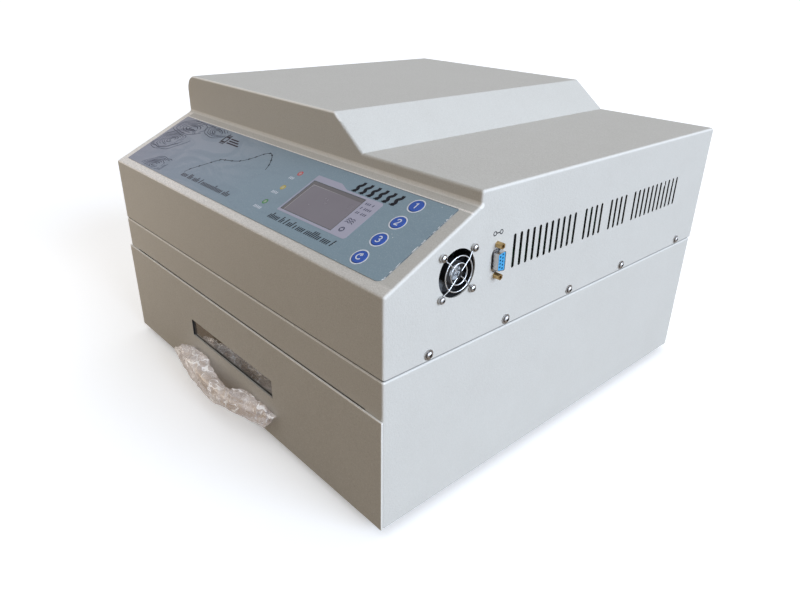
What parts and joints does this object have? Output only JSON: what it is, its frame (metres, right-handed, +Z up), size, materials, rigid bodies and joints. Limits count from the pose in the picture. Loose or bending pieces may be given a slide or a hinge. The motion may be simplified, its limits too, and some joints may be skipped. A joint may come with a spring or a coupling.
{
  "type": "drawer reflow oven",
  "caption": "Bench-top reflow oven with a stepped sheet-metal case, a sloped control panel and display, a heated drawer with a window and bow handle, a side fan and data port.",
  "frame": {"origin": "under the middle of the whole oven, on the plane its feet stand on", "axes": "+Z up; -Y the front, where the drawer opens; +X the side with the cooling fan and data port"},
  "size_m": [0.4583, 0.4814, 0.293],
  "materials": {
    "grey_powder_coat": "warm light grey textured powder coat",
    "galvanised_sheet": "bright zinc-plated sheet steel",
    "bright_screws": "bright plated",
    "chrome_wire": "polished chrome",
    "stainless": "satin stainless",
    "anodised_handle": "satin champagne anodised",
    "clear_film": "thin clear crumpled packing film",
    "oven_glass": "clear heat-proof glass",
    "silicone_seal": "matt black silicone",
    "black_rubber": "matt black",
    "black_plastic": "fine matt black",
    "panel_film": "printed film, lilac grey to steel blue",
    "lcd_pane": "unlit grey display window",
    "display_metal": "satin metal display bezel",
    "blue_key": "blue with a white rim",
    "red_lens": "clear red lens",
    "amber_lens": "clear yellow lens",
    "green_lens": "clear green lens",
    "circuit_board": "green solder resist",
    "blue_insert": "bright blue moulding",
    "plated_shell": "bright tin-plated steel",
    "brass_hex": "plain turned brass",
    "socket_brass": "plated contact",
    "fibre_wool": "ceramic fibre blanket",
    "quartz": "frosted quartz tube",
    "white_ceramic": "unglazed steatite",
    "raw_aluminium": "plain extruded",
    "laminated_iron": "varnished laminations"
  },
  "bodies": {
    "housing": {"base_case": "grey_powder_coat", "top_cover": "grey_powder_coat", "rubber_feet": "black_rubber", "foot_screws": "bright_screws", "cover_screws": "bright_screws", "control_overlay": "panel_film", "lcd_window": "lcd_pane", "lcd_module": "display_metal", "led_red": "red_lens", "led_amber": "amber_lens", "led_green": "green_lens", "control_board": "circuit_board", "board_standoffs": "bright_screws", "cooling_fan_frame": "black_plastic", "cooling_fan_guard": "chrome_wire", "cooling_fan_screws": "bright_screws", "com_shell": "plated_shell", "com_insert": "blue_insert", "com_jackscrews": "brass_hex", "exhaust_fan_frame": "black_plastic", "exhaust_fan_guard": "chrome_wire", "exhaust_fan_screws": "bright_screws", "mains_inlet": "black_plastic", "inlet_pins": "socket_brass", "power_switch_body": "black_plastic", "chassis_deck": "galvanised_sheet", "chamber_hood": "stainless", "thermocouple": "stainless", "hood_insulation": "fibre_wool", "heater_tubes": "quartz", "tube_end_caps": "white_ceramic", "tube_brackets": "stainless", "motor_bracket": "galvanised_sheet", "circulation_motor": "laminated_iron", "power_board": "circuit_board", "relay_heatsink": "raw_aluminium", "transformer": "laminated_iron", "slide_outer_members": "galvanised_sheet", "slide_brackets": "galvanised_sheet"},
    "drawer": {"drawer_front": "grey_powder_coat", "drawer_tray": "stainless", "tray_insulation": "fibre_wool", "tray_liner": "stainless", "work_grid": "stainless", "window_seal": "silicone_seal", "window_glass": "oven_glass", "window_retainer": "stainless", "drawer_handle": "anodised_handle", "handle_film": "clear_film", "handle_screws": "bright_screws", "slide_inner_members": "galvanised_sheet"},
    "slide_middle": {"slide_middle_members": "galvanised_sheet"},
    "key_1": {"key_one": "blue_key"},
    "key_2": {"key_two": "blue_key"},
    "key_3": {"key_three": "blue_key"},
    "key_4": {"key_cancel": "blue_key"},
    "cooling_rotor": {"cooling_fan_rotor": "black_plastic"},
    "exhaust_rotor": {"exhaust_fan_rotor": "black_plastic"},
    "circulation_rotor": {"circulation_fan": "stainless"},
    "rocker": {"power_rocker": "black_plastic"}
  },
  "joints": [
    {"name": "drawer_slide", "type": "slide", "parent": "housing", "child": "drawer", "axis": [0, -1, 0], "range_m": [0, 0.3]},
    {"name": "slide_middle_travel", "type": "slide", "parent": "housing", "child": "slide_middle", "axis": [0, -1, 0], "range_m": [0, 0.15]},
    {"name": "key_one_press", "type": "slide", "parent": "housing", "child": "key_1", "axis": [0, 0.4353, -0.9003], "range_m": [0, 0.0005], "stiffness_N_per_m": 600},
    {"name": "key_two_press", "type": "slide", "parent": "housing", "child": "key_2", "axis": [0, 0.4353, -0.9003], "range_m": [0, 0.0005], "stiffness_N_per_m": 600},
    {"name": "key_three_press", "type": "slide", "parent": "housing", "child": "key_3", "axis": [0, 0.4353, -0.9003], "range_m": [0, 0.0005], "stiffness_N_per_m": 600},
    {"name": "key_cancel_press", "type": "slide", "parent": "housing", "child": "key_4", "axis": [0, 0.4353, -0.9003], "range_m": [0, 0.0005], "stiffness_N_per_m": 600},
    {"name": "cooling_fan_spin", "type": "hinge", "parent": "housing", "child": "cooling_rotor", "pos_m": [0.2238, -0.1422, 0.208], "axis": [1, 0, 0], "continuous": true},
    {"name": "exhaust_fan_spin", "type": "hinge", "parent": "housing", "child": "exhaust_rotor", "pos_m": [-0.095, 0.2358, 0.22], "axis": [0, 1, 0], "continuous": true},
    {"name": "circulation_fan_spin", "type": "hinge", "parent": "housing", "child": "circulation_rotor", "pos_m": [0, -0.015, 0.13], "axis": [0, 0, 1], "continuous": true},
    {"name": "rocker_tilt", "type": "hinge", "parent": "housing", "child": "rocker", "pos_m": [0.11, 0.235, 0.103], "axis": [1, 0, 0], "range_deg": [-22, 0]}
  ],
  "couplings": [
    {"joint": "slide_middle_travel", "follows": "drawer_slide", "ratio": 0.5}
  ]
}
